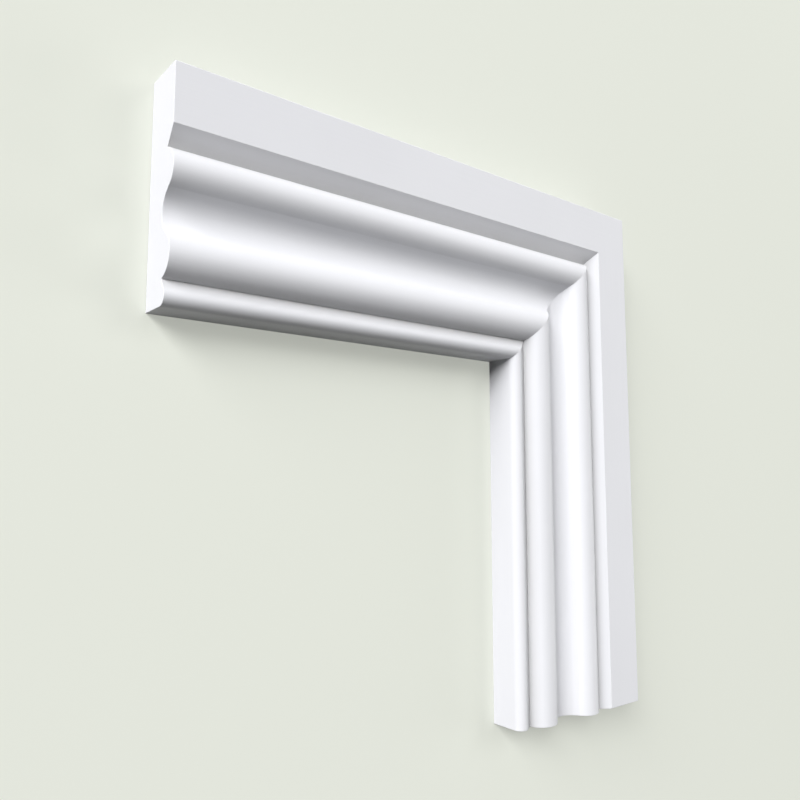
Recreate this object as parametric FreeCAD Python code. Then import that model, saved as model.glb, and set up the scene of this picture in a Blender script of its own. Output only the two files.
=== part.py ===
import FreeCAD, Part
import math
import os

# Corner of an architrave: a head and a leg of one moulding, mitred together.
# It lies on its back: Z points out of the moulded face, the head runs along X and the leg along Y.
# The origin is under the middle of the corner's outline.
# Sizes are in millimetres and slopes in degrees from the plane of the back.

# Lengths along the outer edge, from the corner to the square cut end.
head_length = 300.0
leg_length = 300.0

# Board that the section is cut from.
face_width = 100.0
board_thickness = 25.0

# Plain fascia along the outer edge, and the splay that falls from it.
fascia_depth = 1.5
splay_width = 8.4
arris_radius = 0.5

# Outer torus, whose crest is the face of the board.
outer_torus_radius = 9.3
outer_torus_rise = 77.0
outer_torus_fall = 60.0

# Straight neck below a fine crease, and the cove that it runs into.
neck_slope = 49.0
neck_length = 3.0
cove_radius = 10.4

# Inner torus, which falls to a sharp quirk.
inner_torus_radius = 10.3
inner_torus_rise = 56.0
inner_torus_fall = 74.5

# Nosing beyond the quirk, rounded over to the inner edge.
nose_slope = 31.0
nose_run = 5.3
nose_radius = 4.4
edge_slope = -90.0

# How far the mitre cut runs past the board.
cut_overrun = 5.0

UP = FreeCAD.Vector(0, 0, 1)


def along(slope):
    """Unit step across the section at a slope."""
    angle = math.radians(slope)
    return FreeCAD.Vector(math.cos(angle), math.sin(angle), 0)


class SectionPen:
    """Traces the section, x across from the outer edge and y out from the back."""

    def __init__(self, start):
        self.end = start
        self.edges = []

    def line_to(self, target):
        self.edges.append(Part.LineSegment(self.end, target).toShape())
        self.end = target

    def run(self, length, slope):
        self.line_to(self.end + along(slope) * length)

    def arc(self, radius, start_slope, end_slope):
        """Arc between two slopes: rounded where the slope drops, hollow where it climbs."""
        reach = radius if end_slope < start_slope else -radius
        centre = self.end - along(start_slope + 90) * reach
        middle = centre + along((start_slope + end_slope) / 2 + 90) * reach
        target = centre + along(end_slope + 90) * reach
        self.edges.append(Part.Arc(self.end, middle, target).toShape())
        self.end = target


def trace_members(pen):
    """Moulded members, from the foot of the splay to the top of the inner edge."""
    pen.arc(outer_torus_radius, outer_torus_rise, -outer_torus_fall)
    pen.run(neck_length, -neck_slope)
    pen.arc(cove_radius, -neck_slope, inner_torus_rise)
    pen.arc(inner_torus_radius, inner_torus_rise, -inner_torus_fall)
    pen.run(nose_run, nose_slope)
    pen.arc(nose_radius, nose_slope, edge_slope)


def section_face():
    """Section of the moulding; the fascia takes the width that the members leave."""
    members = SectionPen(FreeCAD.Vector(0, 0, 0))
    trace_members(members)
    crest = outer_torus_radius * (1 - math.cos(math.radians(outer_torus_rise)))
    splay_foot = FreeCAD.Vector(face_width - members.end.x, board_thickness - crest, 0)
    fascia_edge = FreeCAD.Vector(splay_foot.x - splay_width, board_thickness - fascia_depth, 0)
    splay_slope = math.degrees(math.atan2(splay_foot.y - fascia_edge.y, splay_width))
    arris_start = arris_radius * math.tan(math.radians(abs(splay_slope)) / 2)

    back_corner = FreeCAD.Vector(0, 0, 0)
    pen = SectionPen(back_corner)
    pen.line_to(FreeCAD.Vector(0, fascia_edge.y - arris_radius, 0))
    pen.arc(arris_radius, 90, 0)
    pen.line_to(fascia_edge - along(0) * arris_start)
    pen.arc(arris_radius, 0, splay_slope)
    pen.line_to(splay_foot)
    trace_members(pen)
    pen.line_to(FreeCAD.Vector(face_width, 0, 0))
    pen.line_to(back_corner)
    return Part.Face(Part.Wire(pen.edges))


def mitred_length(corner, away, inward, length):
    """Length of moulding that runs away from the corner, cut there along the mitre."""
    face = section_face()
    face.Placement = FreeCAD.Placement(corner, FreeCAD.Rotation(inward, UP, inward.cross(UP)))
    board = face.extrude(away * length)

    diagonal = away + inward
    far = face_width + cut_overrun
    base = corner - UP * cut_overrun
    outer_point = base - diagonal * cut_overrun
    inner_point = base + diagonal * far
    waste_point = base + inward * far - away * cut_overrun
    outline = Part.makePolygon([outer_point, inner_point, waste_point, outer_point])
    waste = Part.Face(outline).extrude(UP * (board_thickness + 2 * cut_overrun))
    return board.cut(waste).Solids[0]


corner = FreeCAD.Vector(head_length / 2, leg_length / 2, 0)
leftward = FreeCAD.Vector(-1, 0, 0)
downward = FreeCAD.Vector(0, -1, 0)

head = mitred_length(corner, leftward, downward, head_length)
leg = mitred_length(corner, downward, leftward, leg_length)

os.makedirs("parts", exist_ok=True)
head.exportStep("parts/architrave_head.step")
leg.exportStep("parts/architrave_leg.step")
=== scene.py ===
import math
from itertools import accumulate

import bpy
from mathutils import Matrix, Vector


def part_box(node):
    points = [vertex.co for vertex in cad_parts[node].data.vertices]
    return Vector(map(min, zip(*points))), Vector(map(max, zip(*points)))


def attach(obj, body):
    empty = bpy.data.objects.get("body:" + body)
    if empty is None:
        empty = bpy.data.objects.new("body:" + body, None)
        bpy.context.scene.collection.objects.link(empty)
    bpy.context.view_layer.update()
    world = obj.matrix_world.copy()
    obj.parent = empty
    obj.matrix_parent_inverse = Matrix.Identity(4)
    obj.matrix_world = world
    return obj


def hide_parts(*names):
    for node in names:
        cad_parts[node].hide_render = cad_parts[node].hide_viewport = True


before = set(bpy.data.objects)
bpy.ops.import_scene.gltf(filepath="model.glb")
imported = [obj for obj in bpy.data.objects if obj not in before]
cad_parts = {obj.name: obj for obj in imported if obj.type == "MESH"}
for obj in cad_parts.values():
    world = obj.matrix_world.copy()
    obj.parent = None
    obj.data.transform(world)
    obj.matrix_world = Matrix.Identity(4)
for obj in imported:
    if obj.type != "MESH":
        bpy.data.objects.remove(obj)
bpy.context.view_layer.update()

bl_info = {
    "name": "Mitred architrave corner",
    "version": (1, 0, 0),
    "blender": (4, 5, 0),
    "location": "View3D > Sidebar > Architrave",
    "description": "Head and leg of one painted moulding, mitred at the corner and lying face up",
    "category": "Add Mesh",
}

HEAD_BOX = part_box("architrave_head")
LEG_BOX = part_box("architrave_leg")

MM = 0.001
LEFT = Vector((-1, 0, 0))
DOWN = Vector((0, -1, 0))
UP = Vector((0, 0, 1))

# Rings of points along a length, how near to its end a ring counts as the end's own,
# and how squarely a face looks along the length where it is the cut's.
RINGS = 61
RING_MARGIN = 0.0001
CUT_FACING = 0.5
ROUND_SEGMENTS = 3

# Waves of the noise in a metre: the streaks' along and across the run, the saw marks' level and upright.
CLOUD_WAVES = 18.0
STREAK_WAVES = (12.0, 1400.0, 1.0)
SAW_WAVES = (900.0, 900.0, 25.0)
PLAIN_DETAIL = 2.0
RICH_DETAIL = 3.0
NOISE_MIDDLE = 0.5

# Shares of the darker colour: all over, what the clouds and the streaks swing it by,
# and the least of the painted shade at the bottom of a hollow.
EVEN_TINT = 0.04
CLOUD_TINT = 0.12
STREAK_TINT = 0.1
PAINTED_SHADE_LEAST = 0.75

# What each mark adds to the roughness, and what burnishing takes off.
CLOUD_ROUGHNESS = 0.12
STIPPLE_ROUGHNESS = 0.08
CUT_ROUGHNESS = 0.14
HOLLOW_ROUGHNESS = 0.1
BURNISH_ROUGHNESS = 0.08

FLOOR_HALF = 8.0
FLOOR_GAP = 0.1 * MM
SENSOR_WIDTH = 36.0
BLACK = (0, 0, 0, 1)


class MouldingSizes(bpy.types.PropertyGroup):
    """Sizes of the moulding's section and of its two lengths."""

    head_length: bpy.props.FloatProperty(
        name="Head length", description="Outer edge of the head, from the corner to the square end",
        default=HEAD_BOX[1].x - HEAD_BOX[0].x, unit="LENGTH")
    leg_length: bpy.props.FloatProperty(
        name="Leg length", description="Outer edge of the leg, from the corner to the foot",
        default=LEG_BOX[1].y - LEG_BOX[0].y, unit="LENGTH")
    face_width: bpy.props.FloatProperty(
        name="Face width", description="Width from the outer edge to the inner edge",
        default=HEAD_BOX[1].y - HEAD_BOX[0].y, unit="LENGTH")
    board_thickness: bpy.props.FloatProperty(
        name="Board thickness", description="Thickness at the crest of the outer torus",
        default=25.0 * MM, unit="LENGTH")
    fascia_depth: bpy.props.FloatProperty(
        name="Fascia depth", description="How far the fascia lies below the face of the board",
        default=1.5 * MM, unit="LENGTH")
    splay_width: bpy.props.FloatProperty(
        name="Splay width", description="Width of the splay that falls from the fascia",
        default=8.4 * MM, unit="LENGTH")
    arris_radius: bpy.props.FloatProperty(
        name="Arris radius", description="Easing of the two arrises of the fascia",
        default=0.5 * MM, unit="LENGTH")
    outer_torus_radius: bpy.props.FloatProperty(
        name="Outer torus radius", description="Radius of the round beside the splay",
        default=9.3 * MM, unit="LENGTH")
    outer_torus_rise: bpy.props.FloatProperty(
        name="Outer torus rise", description="Slope of the outer torus at the foot of the splay",
        default=math.radians(77.0), subtype="ANGLE")
    outer_torus_fall: bpy.props.FloatProperty(
        name="Outer torus fall", description="Slope of the outer torus at the crease",
        default=math.radians(60.0), subtype="ANGLE")
    neck_slope: bpy.props.FloatProperty(
        name="Neck slope", description="Slope of the straight neck below the crease",
        default=math.radians(49.0), subtype="ANGLE")
    neck_length: bpy.props.FloatProperty(
        name="Neck length", description="Length of the straight neck",
        default=3.0 * MM, unit="LENGTH")
    cove_radius: bpy.props.FloatProperty(
        name="Cove radius", description="Radius of the hollow between the two rounds",
        default=10.4 * MM, unit="LENGTH")
    inner_torus_radius: bpy.props.FloatProperty(
        name="Inner torus radius", description="Radius of the round beside the quirk",
        default=10.3 * MM, unit="LENGTH")
    inner_torus_rise: bpy.props.FloatProperty(
        name="Inner torus rise", description="Slope where the cove turns into the inner torus",
        default=math.radians(56.0), subtype="ANGLE")
    inner_torus_fall: bpy.props.FloatProperty(
        name="Inner torus fall", description="Slope of the inner torus at the quirk",
        default=math.radians(74.5), subtype="ANGLE")
    nose_slope: bpy.props.FloatProperty(
        name="Nosing slope", description="Slope of the flat that rises from the quirk",
        default=math.radians(31.0), subtype="ANGLE")
    nose_run: bpy.props.FloatProperty(
        name="Nosing run", description="Length of the flat that rises from the quirk",
        default=5.3 * MM, unit="LENGTH")
    nose_radius: bpy.props.FloatProperty(
        name="Nosing radius", description="Radius that turns the nosing down to the inner edge",
        default=4.4 * MM, unit="LENGTH")
    end_round: bpy.props.FloatProperty(
        name="End round", description="Paint's rounding of the edges of the square cut ends",
        default=0.25 * MM, unit="LENGTH")


class PaintFinish(bpy.types.PropertyGroup):
    """Colour and surface of the white paint."""

    colour: bpy.props.FloatVectorProperty(
        name="Paint colour", description="Colour of the white paint",
        default=(0.845, 0.85, 0.885), subtype="COLOR", min=0, max=1)
    # Painted shade: the darker colour that the sharp hollows are painted towards, as shade would darken
    # them; it is also the darker end of the paint's random tone.
    tone_and_shade_colour: bpy.props.FloatVectorProperty(
        name="Pooled colour", description="Colour where paint and dust gather in the sharp hollows",
        default=(0.6, 0.6, 0.61), subtype="COLOR", min=0, max=1)
    # Painted shade: how far the painted darkening reaches from the bottom of a hollow.
    painted_shade_width: bpy.props.FloatProperty(
        name="Pooled width", description="How far the pooled paint reaches from the bottom of a hollow",
        default=8.0 * MM, unit="LENGTH")
    sheen_roughness: bpy.props.FloatProperty(
        name="Sheen roughness", description="Roughness of the satin finish",
        default=0.45, subtype="FACTOR", min=0, max=1)
    sheen_level: bpy.props.FloatProperty(
        name="Sheen level", description="How strongly the finish mirrors what is round it",
        default=0.15, subtype="FACTOR", min=0, max=1)
    burnish_width: bpy.props.FloatProperty(
        name="Burnish width", description="How far handling has smoothed the paint beside an arris",
        default=1.0 * MM, unit="LENGTH")
    stipple_size: bpy.props.FloatProperty(
        name="Stipple size", description="Width of the fine stipple that spraying leaves",
        default=0.9 * MM, unit="LENGTH")
    stipple_depth: bpy.props.FloatProperty(
        name="Stipple depth", description="Height of the stipple",
        default=0.004 * MM, unit="LENGTH")
    streak_depth: bpy.props.FloatProperty(
        name="Streak depth", description="Height of the faint sanding lines along the run",
        default=0.002 * MM, unit="LENGTH")
    saw_depth: bpy.props.FloatProperty(
        name="Saw mark depth", description="Height of the saw marks under the paint of the cut ends",
        default=0.02 * MM, unit="LENGTH")


class StageSettings(bpy.types.PropertyGroup):
    """Floor, lamps and camera."""

    floor_colour: bpy.props.FloatVectorProperty(
        name="Floor colour", description="Pale colour of the floor",
        default=(0.83, 0.855, 0.775), subtype="COLOR", min=0, max=1)
    floor_glow: bpy.props.FloatProperty(
        name="Floor glow", description="Share of the floor's colour that shows whatever light falls on it",
        default=0.45, subtype="FACTOR", min=0, max=1)
    shadow_reach: bpy.props.FloatProperty(
        name="Shadow reach", description="How far from the middle the floor takes the shadow in full",
        default=0.4, unit="LENGTH")
    fade_reach: bpy.props.FloatProperty(
        name="Fade reach", description="How far from the middle the floor becomes plain background",
        default=1.5, unit="LENGTH")
    floor_bounce: bpy.props.FloatVectorProperty(
        name="Floor bounce", description="Colour that the floor throws back onto the object",
        default=(0.36, 0.36, 0.345), subtype="COLOR", min=0, max=1)
    key_share: bpy.props.FloatProperty(
        name="Key lamp", description="Light of the lamp off the square end, as a share of full white",
        default=0.79, min=0)
    low_share: bpy.props.FloatProperty(
        name="Low lamp", description="Light of the lamp below the key lamp, as a share of full white",
        default=0.63, min=0)
    corner_share: bpy.props.FloatProperty(
        name="Corner lamp",
        description="Light of the high lamp beyond the corner, as a share of full white",
        default=0.285, min=0)
    leg_share: bpy.props.FloatProperty(
        name="Leg lamp", description="Light of the low lamp beyond the leg, as a share of full white",
        default=0.265, min=0)
    ambient_share: bpy.props.FloatProperty(
        name="Ambient light", description="Even light from all round, as a share of full white",
        default=0.01, min=0)
    lamp_distance: bpy.props.FloatProperty(
        name="Lamp distance", description="How far each lamp stands from the middle of the object",
        default=8.0, unit="LENGTH")
    lamp_size: bpy.props.FloatProperty(
        name="Lamp size", description="Width of each round lamp",
        default=4.0, unit="LENGTH")
    lens: bpy.props.FloatProperty(
        name="Lens", description="Focal length of the camera, whose sensor is 36 mm wide",
        default=33.98, min=1, unit="CAMERA")
    camera_place: bpy.props.FloatVectorProperty(
        name="Camera place", description="Where the camera stands",
        default=(-0.25849, -0.01973, 0.30366), subtype="TRANSLATION", unit="LENGTH")
    camera_target: bpy.props.FloatVectorProperty(
        name="Camera target", description="Point of the floor that the camera looks at",
        default=(-0.01582, 0.02346, 0.0), subtype="TRANSLATION", unit="LENGTH")


class Signal:
    """Output socket of a node; arithmetic on it adds Math nodes to its tree."""

    # Places of a Mix node's share and two colours among its inputs, and of its colour among its outputs.
    mix_inputs = (0, 6, 7)
    mix_output = 2

    def __init__(self, tree, socket=None):
        self.tree = tree
        self.socket = socket

    def node(self, kind, settings=None, inputs=None, output=0):
        """Adds a node, sets it up, fills or links its inputs and returns one output."""
        made = self.tree.nodes.new(kind)
        for name, value in (settings or {}).items():
            setattr(made, name, value)
        for key, value in (inputs or {}).items():
            if isinstance(value, Signal):
                self.tree.links.new(value.socket, made.inputs[key])
            else:
                made.inputs[key].default_value = value
        return Signal(self.tree, made.outputs[output])

    def math(self, operation, *others):
        return self.node("ShaderNodeMath", {"operation": operation}, dict(enumerate((self, *others))))

    def vector(self, operation, *others, output="Vector"):
        values = dict(enumerate((self, *others)))
        return self.node("ShaderNodeVectorMath", {"operation": operation}, values, output)

    def mixed(self, first, second):
        """Colour between two, with this signal as the share of the second."""
        values = dict(zip(self.mix_inputs, (self, first, second)))
        return self.node("ShaderNodeMix", {"data_type": "RGBA"}, values, self.mix_output)

    def eased(self, low, high, at_low, at_high):
        """Smooth change from one value, where this signal is low, to another, where it is high."""
        values = {"Value": self, "From Min": low, "From Max": high, "To Min": at_low, "To Max": at_high}
        return self.node("ShaderNodeMapRange", {"interpolation_type": "SMOOTHSTEP"}, values)

    def scaled(self, factor):
        return self.node("ShaderNodeVectorMath", {"operation": "SCALE"}, {"Vector": self, "Scale": factor})

    def part(self, axis):
        return self.node("ShaderNodeSeparateXYZ", inputs={"Vector": self}, output=axis)

    def __add__(self, other):
        return self.math("ADD", other)

    __radd__ = __add__

    def __sub__(self, other):
        return self.math("SUBTRACT", other)

    def __rsub__(self, other):
        return self.node("ShaderNodeMath", {"operation": "SUBTRACT"}, {0: other, 1: self})

    def __mul__(self, other):
        return self.math("MULTIPLY", other)

    __rmul__ = __mul__


def along(slope):
    """Unit step across the section at a slope."""
    return Vector((math.cos(slope), math.sin(slope)))


class SectionTrace:
    """Outline of the section as points, x across from the outer edge and y out from the back."""

    arc_step = math.radians(2.0)
    arris_steps = 8
    hold = 0.4 * MM

    def __init__(self, start):
        self.points = [start]
        self.corners = {0}
        self.hollows = []
        self.arrises = []

    @property
    def end(self):
        return self.points[-1]

    @property
    def girths(self):
        """Distance of each point from the first, measured round the outline."""
        steps = [(b - a).length for a, b in zip(self.points, self.points[1:])]
        return list(accumulate(steps, initial=0.0))

    def corner(self):
        """Keeps a crisp edge at the present end."""
        self.corners.add(len(self.points) - 1)

    def hollow(self):
        """Keeps a crisp edge at the present end, a sharp hollow that the paint's painted shade darkens."""
        self.corner()
        self.hollows.append(self.girths[-1])

    def arris(self, radius, start_slope, end_slope):
        """Arc that eases an edge, where the paint is burnished."""
        before = self.girths[-1]
        self.arc(radius, start_slope, end_slope)
        self.arrises.append((before + self.girths[-1]) / 2)

    def line_to(self, target):
        """Straight line, with points near its ends that hold its shading flat."""
        start, step = self.end, (target - self.end).normalized() * self.hold
        self.points += [start + step, target - step, target]

    def run(self, length, slope):
        self.line_to(self.end + along(slope) * length)

    def arc(self, radius, start_slope, end_slope):
        """Arc between two slopes: rounded where the slope drops, hollow where it climbs."""
        reach = radius if end_slope < start_slope else -radius
        quarter = math.pi / 2
        centre = self.end - along(start_slope + quarter) * reach
        turn = end_slope - start_slope
        steps = max(self.arris_steps, round(abs(turn) / self.arc_step))
        for i in range(1, steps + 1):
            self.points.append(centre + along(start_slope + turn * i / steps + quarter) * reach)


def trace_members(trace, sizes):
    """Moulded members, from the foot of the splay to the top of the inner edge."""
    trace.arc(sizes.outer_torus_radius, sizes.outer_torus_rise, -sizes.outer_torus_fall)
    trace.corner()
    trace.run(sizes.neck_length, -sizes.neck_slope)
    trace.arc(sizes.cove_radius, -sizes.neck_slope, sizes.inner_torus_rise)
    trace.arc(sizes.inner_torus_radius, sizes.inner_torus_rise, -sizes.inner_torus_fall)
    trace.hollow()
    trace.run(sizes.nose_run, sizes.nose_slope)
    trace.arc(sizes.nose_radius, sizes.nose_slope, -math.pi / 2)


def section_outline(sizes):
    """Whole section, from the outer corner of the back round to that corner again."""
    members = SectionTrace(Vector((0, 0)))
    trace_members(members, sizes)
    crest = sizes.outer_torus_radius * (1 - math.cos(sizes.outer_torus_rise))
    splay_foot = Vector((sizes.face_width - members.end.x, sizes.board_thickness - crest))
    fascia_edge = Vector((splay_foot.x - sizes.splay_width, sizes.board_thickness - sizes.fascia_depth))
    splay_slope = math.atan2(splay_foot.y - fascia_edge.y, sizes.splay_width)
    arris_start = sizes.arris_radius * math.tan(abs(splay_slope) / 2)

    trace = SectionTrace(Vector((0, 0)))
    trace.line_to(Vector((0, fascia_edge.y - sizes.arris_radius)))
    trace.arris(sizes.arris_radius, math.pi / 2, 0)
    trace.line_to(fascia_edge - Vector((arris_start, 0)))
    trace.arris(sizes.arris_radius, 0, splay_slope)
    trace.line_to(splay_foot)
    trace.hollow()
    trace_members(trace, sizes)
    trace.line_to(Vector((sizes.face_width, 0)))
    trace.corner()
    trace.line_to(Vector((0, 0)))
    trace.points.pop()
    return trace


def section_mesh(name, trace):
    """Closed loop of edges for the section, with its crisp corners and its girth stored."""
    count = len(trace.points)
    mesh = bpy.data.meshes.new(name)
    loop = [(i, (i + 1) % count) for i in range(count)]
    mesh.from_pydata([(p.x, p.y, 0) for p in trace.points], loop, [])
    marks = mesh.attributes.new("crisp", "BOOLEAN", "POINT")
    marks.data.foreach_set("value", [i in trace.corners for i in range(count)])
    girth = mesh.attributes.new("girth", "FLOAT", "POINT")
    girth.data.foreach_set("value", trace.girths)
    return mesh


def sweep_tree():
    """Geometry nodes that run a section away from the corner and cut its mitre."""
    tree = bpy.data.node_groups.get("mitred_length")
    if tree:
        return tree
    tree = bpy.data.node_groups.new("mitred_length", "GeometryNodeTree")
    for name, kind in (
        ("Section", "NodeSocketGeometry"),
        ("Length", "NodeSocketFloat"),
        ("Corner", "NodeSocketVector"),
        ("Away", "NodeSocketVector"),
        ("Inward", "NodeSocketVector"),
        ("Rings", "NodeSocketInt"),
        ("Turn Faces", "NodeSocketBool"),
        ("Paint", "NodeSocketMaterial"),
    ):
        tree.interface.new_socket(name, in_out="INPUT", socket_type=kind)
    tree.interface.new_socket("Length of moulding", in_out="OUTPUT", socket_type="NodeSocketGeometry")
    given = tree.nodes.new("NodeGroupInput")
    take = {socket.name: Signal(tree, socket) for socket in given.outputs if socket.name}
    start = Signal(tree)

    def store(geometry, name, kind, domain, value):
        return start.node(
            "GeometryNodeStoreNamedAttribute", {"data_type": kind, "domain": domain},
            {"Geometry": geometry, "Name": name, "Value": value})

    def read(name, kind):
        return start.node("GeometryNodeInputNamedAttribute", {"data_type": kind}, {"Name": name})

    profile = start.node("GeometryNodeMeshToCurve", inputs={"Mesh": take["Section"]})
    drawn_at = start.node("GeometryNodeInputPosition")
    profile = store(profile, "section_point", "FLOAT_VECTOR", "POINT", drawn_at)
    path_end = start.node("ShaderNodeCombineXYZ", inputs={"X": take["Length"]})
    path = start.node("GeometryNodeCurvePrimitiveLine", inputs={"End": path_end})
    path = start.node("GeometryNodeResampleCurve", inputs={"Curve": path, "Count": take["Rings"]})
    path = store(path, "run", "FLOAT", "POINT", start.node("GeometryNodeSplineParameter"))
    body = start.node(
        "GeometryNodeCurveToMesh", inputs={"Curve": path, "Profile Curve": profile, "Fill Caps": True})

    point = read("section_point", "FLOAT_VECTOR")
    across, out = point.part("X"), point.part("Y")
    run = read("run", "FLOAT")
    distance = across + (take["Length"] - across) * run
    place = take["Corner"].vector("ADD", take["Away"].scaled(distance))
    place = place.vector("ADD", take["Inward"].scaled(across))
    place = place.vector("ADD", start.node("ShaderNodeCombineXYZ", inputs={"Z": out}))
    body = start.node("GeometryNodeSetPosition", inputs={"Geometry": body, "Position": place})
    body = start.node("GeometryNodeFlipFaces", inputs={"Mesh": body, "Selection": take["Turn Faces"]})
    body = start.node("GeometryNodeSetShadeSmooth", inputs={"Geometry": body, "Shade Smooth": True})

    end_ring = run.math("GREATER_THAN", 1 - RING_MARGIN)
    corner_ring = run.math("LESS_THAN", RING_MARGIN)
    body = store(body, "square_end", "BOOLEAN", "POINT", end_ring)
    body = store(body, "mitre_end", "BOOLEAN", "POINT", corner_ring)
    kept_crisp = start.node(
        "FunctionNodeBooleanMath", {"operation": "OR"},
        {0: read("crisp", "BOOLEAN"), 1: read("mitre_end", "BOOLEAN")})
    body = store(body, "sharp_edge", "BOOLEAN", "EDGE", kept_crisp)
    body = store(body, "bevel_weight_edge", "FLOAT", "EDGE", read("square_end", "BOOLEAN"))
    facing = start.node("GeometryNodeInputNormal")
    towards_end = facing.vector("DOT_PRODUCT", take["Away"], output="Value")
    body = store(body, "cut_end", "FLOAT", "FACE", towards_end.math("GREATER_THAN", CUT_FACING))
    run_map = start.node("ShaderNodeCombineXYZ", inputs={"X": distance, "Y": read("girth", "FLOAT")})
    body = store(body, "run_map", "FLOAT2", "CORNER", run_map)
    body = start.node("GeometryNodeRealizeInstances", inputs={"Geometry": body})
    body = start.node("GeometryNodeSetMaterial", inputs={"Geometry": body, "Material": take["Paint"]})
    leave = tree.nodes.new("NodeGroupOutput")
    tree.links.new(body.socket, leave.inputs[0])
    return tree


def white_paint(finish, trace):
    """Satin white paint: fine stipple, faint lines along the run, painted shade that darkens the sharp
    hollows, burnished along the arrises and over saw marks on the cut ends."""
    material = bpy.data.materials.get("white_paint_finish")
    if material:
        return material
    material = bpy.data.materials.new("white_paint_finish")
    material.use_nodes = True
    tree = material.node_tree
    shader = tree.nodes["Principled BSDF"]
    shader.inputs["Specular IOR Level"].default_value = finish.sheen_level
    start = Signal(tree)
    place = start.node("ShaderNodeTexCoord", output="Object")
    run_map = start.node("ShaderNodeUVMap", {"uv_map": "run_map"})
    girth = run_map.part("Y")
    cut_end = start.node("ShaderNodeAttribute", {"attribute_name": "cut_end"}, output="Fac")
    moulded = 1 - cut_end

    def noise(vector, detail, waves=1.0):
        values = {"Vector": vector, "Scale": waves, "Detail": detail}
        return start.node("ShaderNodeTexNoise", inputs=values)

    def beside(lines, width):
        """One on each line of the section, falling to nothing at the width."""
        mask = None
        for line in lines:
            near = (girth - line).math("ABSOLUTE").eased(0.0, width, 1.0, 0.0)
            mask = near if mask is None else mask.math("MAXIMUM", near)
        return mask * moulded

    stipple = noise(place, PLAIN_DETAIL, 1 / finish.stipple_size)
    streaks = noise(run_map.vector("MULTIPLY", STREAK_WAVES), RICH_DETAIL)
    cloud = noise(place, RICH_DETAIL, CLOUD_WAVES)
    saw_marks = noise(place.vector("MULTIPLY", SAW_WAVES), PLAIN_DETAIL)
    # Painted shade: darker near the sharp hollows, standing in for the shade there; the same mask also
    # roughens them.
    painted_shade = beside(trace.hollows, finish.painted_shade_width)
    burnished = beside(trace.arrises, finish.burnish_width)

    cloud_swing = cloud - NOISE_MIDDLE
    # Base colour: painted shade in the hollows, an even shift and random tone from the clouds and streaks.
    tone_and_shade_share = painted_shade * (PAINTED_SHADE_LEAST + cloud * (1 - PAINTED_SHADE_LEAST)) + EVEN_TINT
    tone_and_shade_share = tone_and_shade_share + cloud_swing * CLOUD_TINT + (streaks - NOISE_MIDDLE) * moulded * STREAK_TINT
    toned_and_shaded = tone_and_shade_share.mixed((*finish.colour, 1), (*finish.tone_and_shade_colour, 1))
    tree.links.new(toned_and_shaded.socket, shader.inputs["Base Color"])
    roughness = finish.sheen_roughness + cloud_swing * CLOUD_ROUGHNESS
    roughness = roughness + (stipple - NOISE_MIDDLE) * STIPPLE_ROUGHNESS + cut_end * CUT_ROUGHNESS
    roughness = roughness + painted_shade * HOLLOW_ROUGHNESS - burnished * BURNISH_ROUGHNESS
    tree.links.new(roughness.socket, shader.inputs["Roughness"])
    relief = stipple * finish.stipple_depth + streaks * moulded * finish.streak_depth
    relief = relief + saw_marks * cut_end * finish.saw_depth
    bump = start.node("ShaderNodeBump", inputs={"Strength": 1.0, "Distance": 1.0, "Height": relief})
    tree.links.new(bump.socket, shader.inputs["Normal"])
    return material


def make_length(context, name, node, away, inward, length, turn_faces):
    """One length of moulding, swept by geometry nodes, rounded at its cut end and made a plain mesh."""
    sizes = context.scene.moulding_sizes
    corner = Vector((HEAD_BOX[1].x, LEG_BOX[1].y, HEAD_BOX[0].z))
    trace = section_outline(sizes)
    piece = bpy.data.objects.new(name, section_mesh(name + "_section", trace))
    context.scene.collection.objects.link(piece)
    sweep = piece.modifiers.new("Sweep", "NODES")
    sweep.node_group = sweep_tree()
    given = {
        "Length": length, "Corner": corner, "Away": away, "Inward": inward, "Rings": RINGS,
        "Turn Faces": turn_faces, "Paint": white_paint(context.scene.paint_finish, trace),
    }
    for socket in sweep.node_group.interface.items_tree:
        if socket.name in given:
            sweep[socket.identifier] = given[socket.name]
    round_over = piece.modifiers.new("Round", "BEVEL")
    round_over.limit_method = "WEIGHT"
    round_over.width = sizes.end_round
    round_over.segments = ROUND_SEGMENTS
    round_over.use_clamp_overlap = False
    round_over.harden_normals = True

    context.view_layer.update()
    finished = bpy.data.meshes.new_from_object(piece.evaluated_get(context.evaluated_depsgraph_get()))
    if not finished.polygons:
        raise RuntimeError(name + " came out empty")
    piece.modifiers.clear()
    piece.data = finished
    finished.name = name
    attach(piece, "root")
    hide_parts(node)


class ARCHITRAVE_OT_head(bpy.types.Operator):
    """Builds the head, the length that runs across the top of the opening"""

    bl_idname = "architrave.head"
    bl_label = "Build the head"

    def execute(self, context):
        length = context.scene.moulding_sizes.head_length
        make_length(context, "painted_head", "architrave_head", LEFT, DOWN, length, turn_faces=True)
        return {"FINISHED"}


class ARCHITRAVE_OT_leg(bpy.types.Operator):
    """Builds the leg, the length that runs down the side of the opening"""

    bl_idname = "architrave.leg"
    bl_label = "Build the leg"

    def execute(self, context):
        length = context.scene.moulding_sizes.leg_length
        make_length(context, "painted_leg", "architrave_leg", DOWN, LEFT, length, turn_faces=False)
        return {"FINISHED"}


def shown_rays(start):
    """One for rays that see the plain background: the camera's, mirrored ones and those through glass."""
    shown = start.node("ShaderNodeLightPath", output="Is Camera Ray")
    for name in ("Is Glossy Ray", "Is Transmission Ray"):
        shown = shown.math("MAXIMUM", start.node("ShaderNodeLightPath", output=name))
    return shown


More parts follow.
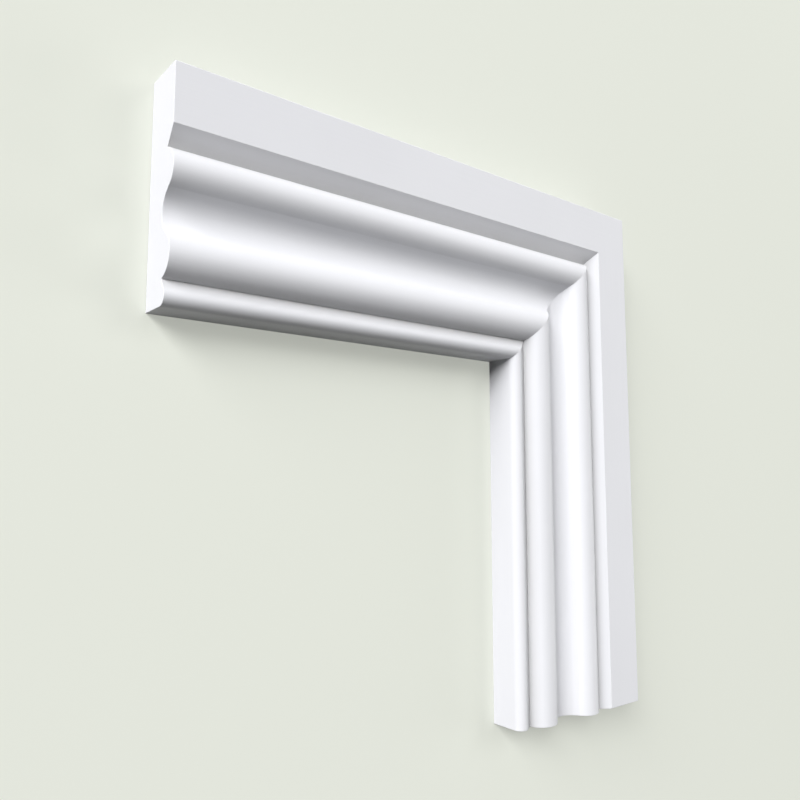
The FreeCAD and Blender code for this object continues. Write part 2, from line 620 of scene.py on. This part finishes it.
def floor_material(stage):
    """Pale floor that takes the object's shadow, throws little light back onto the object
    and becomes plain background further off."""
    material = bpy.data.materials.new("pale_floor")
    material.use_nodes = True
    tree = material.node_tree
    shader = tree.nodes["Principled BSDF"]
    shader.inputs["Roughness"].default_value = 0.9
    shader.inputs["Specular IOR Level"].default_value = 0.0
    shader.inputs["Emission Strength"].default_value = 1.0
    start = Signal(tree)
    shown = shown_rays(start)
    distance = start.node("ShaderNodeTexCoord", output="Object").vector("LENGTH", output="Value")
    lit_share = distance.eased(stage.shadow_reach, stage.fade_reach, 1 - stage.floor_glow, 0.0)
    colour = (*stage.floor_colour, 1)
    lit = shown.mixed((*stage.floor_bounce, 1), lit_share.mixed(BLACK, colour))
    glow = shown.mixed(BLACK, lit_share.mixed(colour, BLACK))
    tree.links.new(lit.socket, shader.inputs["Base Color"])
    tree.links.new(glow.socket, shader.inputs["Emission Color"])
    return material


def add_lamp(context, name, share, bearing, height):
    """Soft round lamp that faces the middle of the object; a share of 1 lights facing white as white.
    Its bearing turns from the head's outer side towards the square end, and its height is an angle above
    the floor, both in degrees."""
    stage = context.scene.stage_settings
    turn, rise = math.radians(bearing), math.radians(height)
    level = math.cos(rise) * (math.cos(turn) * -DOWN + math.sin(turn) * LEFT)
    outward = level + math.sin(rise) * UP
    lamp = bpy.data.lights.new(name, "AREA")
    lamp.shape = "DISK"
    lamp.size = stage.lamp_size
    lamp.energy = share * (math.pi * stage.lamp_distance) ** 2
    stand = bpy.data.objects.new(name, lamp)
    stand.location = outward * stage.lamp_distance
    stand.rotation_mode = "QUATERNION"
    stand.rotation_quaternion = (-outward).to_track_quat("-Z", "Y")
    context.scene.collection.objects.link(stand)


class ARCHITRAVE_OT_stage(bpy.types.Operator):
    """Sets the floor, the lamps and the camera"""

    bl_idname = "architrave.stage"
    bl_label = "Set the stage"

    def execute(self, context):
        scene = context.scene
        stage = scene.stage_settings
        mesh = bpy.data.meshes.new("floor")
        signs = ((-1, -1), (1, -1), (1, 1), (-1, 1))
        corners = [(x * FLOOR_HALF, y * FLOOR_HALF, -FLOOR_GAP) for x, y in signs]
        mesh.from_pydata(corners, [], [(0, 1, 2, 3)])
        mesh.materials.append(floor_material(stage))
        floor = bpy.data.objects.new("floor", mesh)
        scene.collection.objects.link(floor)

        add_lamp(context, "key_lamp", stage.key_share, bearing=58, height=36)
        add_lamp(context, "low_lamp", stage.low_share, bearing=53, height=16)
        add_lamp(context, "corner_lamp", stage.corner_share, bearing=300, height=46)
        add_lamp(context, "leg_lamp", stage.leg_share, bearing=265, height=16)

        world = bpy.data.worlds.new("studio")
        world.use_nodes = True
        tree = world.node_tree
        background = tree.nodes["Background"]
        level = stage.ambient_share + shown_rays(Signal(tree)) * (1 - stage.ambient_share)
        background.inputs["Color"].default_value = (*stage.floor_colour, 1)
        tree.links.new(level.socket, background.inputs["Strength"])
        scene.world = world

        lens = bpy.data.cameras.new("camera")
        lens.sensor_width = SENSOR_WIDTH
        lens.lens = stage.lens
        lens.clip_start = 0.01
        camera = bpy.data.objects.new("camera", lens)
        camera.location = stage.camera_place
        look = Vector(stage.camera_target) - camera.location
        camera.rotation_mode = "QUATERNION"
        right = look.cross(-DOWN).normalized()
        upward = right.cross(look).normalized()
        turn = Matrix((right, upward, -look.normalized())).transposed()
        camera.rotation_quaternion = turn.to_quaternion()
        scene.collection.objects.link(camera)
        scene.camera = camera
        scene.view_settings.view_transform = "Standard"
        return {"FINISHED"}


class ARCHITRAVE_PT_corner(bpy.types.Panel):
    """Lists the pieces of the corner and their sizes"""

    bl_idname = "ARCHITRAVE_PT_corner"
    bl_label = "Architrave corner"
    bl_space_type = "VIEW_3D"
    bl_region_type = "UI"
    bl_category = "Architrave"

    def draw(self, context):
        layout = self.layout
        scene = context.scene
        for operator in OPERATORS:
            layout.operator(operator.bl_idname)
        for group in (scene.moulding_sizes, scene.paint_finish, scene.stage_settings):
            box = layout.box()
            for name in group.__annotations__:
                box.prop(group, name)


OPERATORS = (ARCHITRAVE_OT_head, ARCHITRAVE_OT_leg, ARCHITRAVE_OT_stage)
CLASSES = (MouldingSizes, PaintFinish, StageSettings, *OPERATORS, ARCHITRAVE_PT_corner)


def register():
    for item in CLASSES:
        bpy.utils.register_class(item)
    bpy.types.Scene.moulding_sizes = bpy.props.PointerProperty(type=MouldingSizes)
    bpy.types.Scene.paint_finish = bpy.props.PointerProperty(type=PaintFinish)
    bpy.types.Scene.stage_settings = bpy.props.PointerProperty(type=StageSettings)


def unregister():
    del bpy.types.Scene.stage_settings
    del bpy.types.Scene.paint_finish
    del bpy.types.Scene.moulding_sizes
    for item in reversed(CLASSES):
        bpy.utils.unregister_class(item)


def main():
    register()
    bpy.ops.architrave.head()
    bpy.ops.architrave.leg()
    bpy.ops.architrave.stage()


if __name__ == "__main__":
    main()
